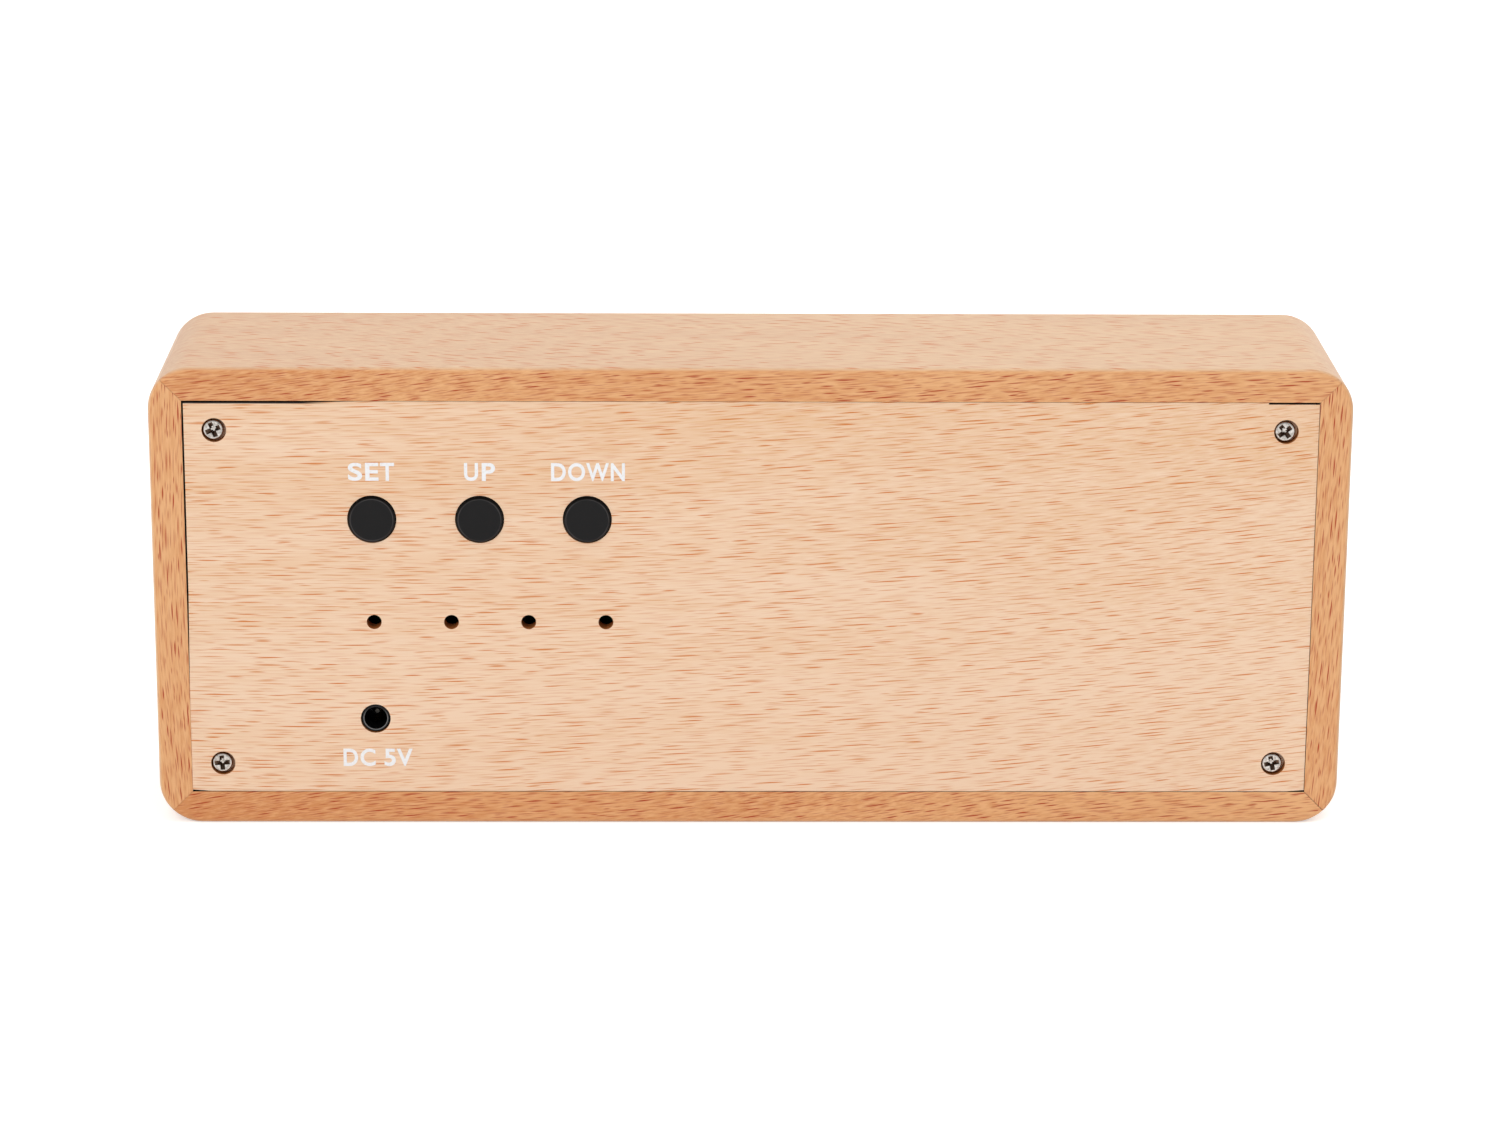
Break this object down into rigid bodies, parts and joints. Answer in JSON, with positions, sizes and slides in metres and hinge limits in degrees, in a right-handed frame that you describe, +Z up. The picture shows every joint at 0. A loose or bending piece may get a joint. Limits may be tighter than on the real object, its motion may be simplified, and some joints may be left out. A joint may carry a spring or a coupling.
{
  "type": "wooden alarm clock",
  "caption": "Low rectangular desk alarm clock in a mitred beech case, with push buttons, sound holes and a power socket on its inset back panel.",
  "frame": {"origin": "middle of the underside, on the surface that the clock stands on", "axes": "+X along the case's width, +Y out of the back panel with the controls, +Z up"},
  "size_m": [0.2, 0.0414, 0.0795],
  "materials": {
    "beech_frame": "solid beech, sanded, clear satin lacquer",
    "beech_panel": "beech veneered board, sanded, clear matt lacquer",
    "beech_face": "thin beech veneer, lit from behind",
    "block_wood": "rough-sawn softwood",
    "fibreboard": "plain medium-density fibreboard",
    "diffuser": "milky film",
    "circuit_board": "green solder mask",
    "led": "moulded white light",
    "black_plastic": "moulded black ABS, fine matt",
    "chip_plastic": "moulded epoxy",
    "spacer_plastic": "moulded nylon",
    "ivory_plastic": "moulded connector plastic",
    "ribbon": "grey cable jacket",
    "nickel": "nickel-plated steel",
    "steel": "bare steel",
    "tin": "tinned copper",
    "brass": "bare brass"
  },
  "bodies": {
    "case": {"buzzer_case": "black_plastic", "buzzer_disc": "brass", "case_bottom_board": "beech_frame", "case_left_board": "beech_frame", "case_right_board": "beech_frame", "case_top_board": "beech_frame", "coin_cell": "steel", "coin_cell_clip": "nickel", "coin_cell_holder": "black_plastic", "control_board": "circuit_board", "control_board_screws": "steel", "control_board_spacers": "spacer_plastic", "control_header": "ivory_plastic", "control_plug": "ivory_plastic", "controller_chip": "chip_plastic", "corner_block_lower_left": "block_wood", "corner_block_lower_right": "block_wood", "corner_block_upper_left": "block_wood", "corner_block_upper_right": "block_wood", "diffuser_film": "diffuser", "display_board": "circuit_board", "display_board_screws": "steel", "display_driver_chip": "chip_plastic", "display_header": "ivory_plastic", "display_plug": "ivory_plastic", "down_switch_base": "black_plastic", "down_switch_cover": "steel", "down_switch_dome": "steel", "face_veneer": "beech_face", "front_board": "fibreboard", "header_pins": "tin", "jack_centre_pin": "nickel", "jack_housing": "black_plastic", "jack_sleeve_contact": "brass", "rear_panel": "beech_panel", "rear_panel_screws": "nickel", "ribbon_cable": "ribbon", "segment_leds": "led", "set_switch_base": "black_plastic", "set_switch_cover": "steel", "set_switch_dome": "steel", "smoothing_capacitor": "tin", "switch_legs": "tin", "timing_crystal": "steel", "up_switch_base": "black_plastic", "up_switch_cover": "steel", "up_switch_dome": "steel"},
    "set_button": {"set_button": "black_plastic", "set_switch_plunger": "black_plastic"},
    "up_button": {"up_button": "black_plastic", "up_switch_plunger": "black_plastic"},
    "down_button": {"down_button": "black_plastic", "down_switch_plunger": "black_plastic"}
  },
  "joints": [
    {"name": "set_press", "type": "slide", "parent": "case", "child": "set_button", "axis": [0, -1, 0], "range_m": [0, 0.0003], "stiffness_N_per_m": 5000, "deforming": ["set_switch_dome"]},
    {"name": "up_press", "type": "slide", "parent": "case", "child": "up_button", "axis": [0, -1, 0], "range_m": [0, 0.0003], "stiffness_N_per_m": 5000, "deforming": ["up_switch_dome"]},
    {"name": "down_press", "type": "slide", "parent": "case", "child": "down_button", "axis": [0, -1, 0], "range_m": [0, 0.0003], "stiffness_N_per_m": 5000, "deforming": ["down_switch_dome"]}
  ]
}
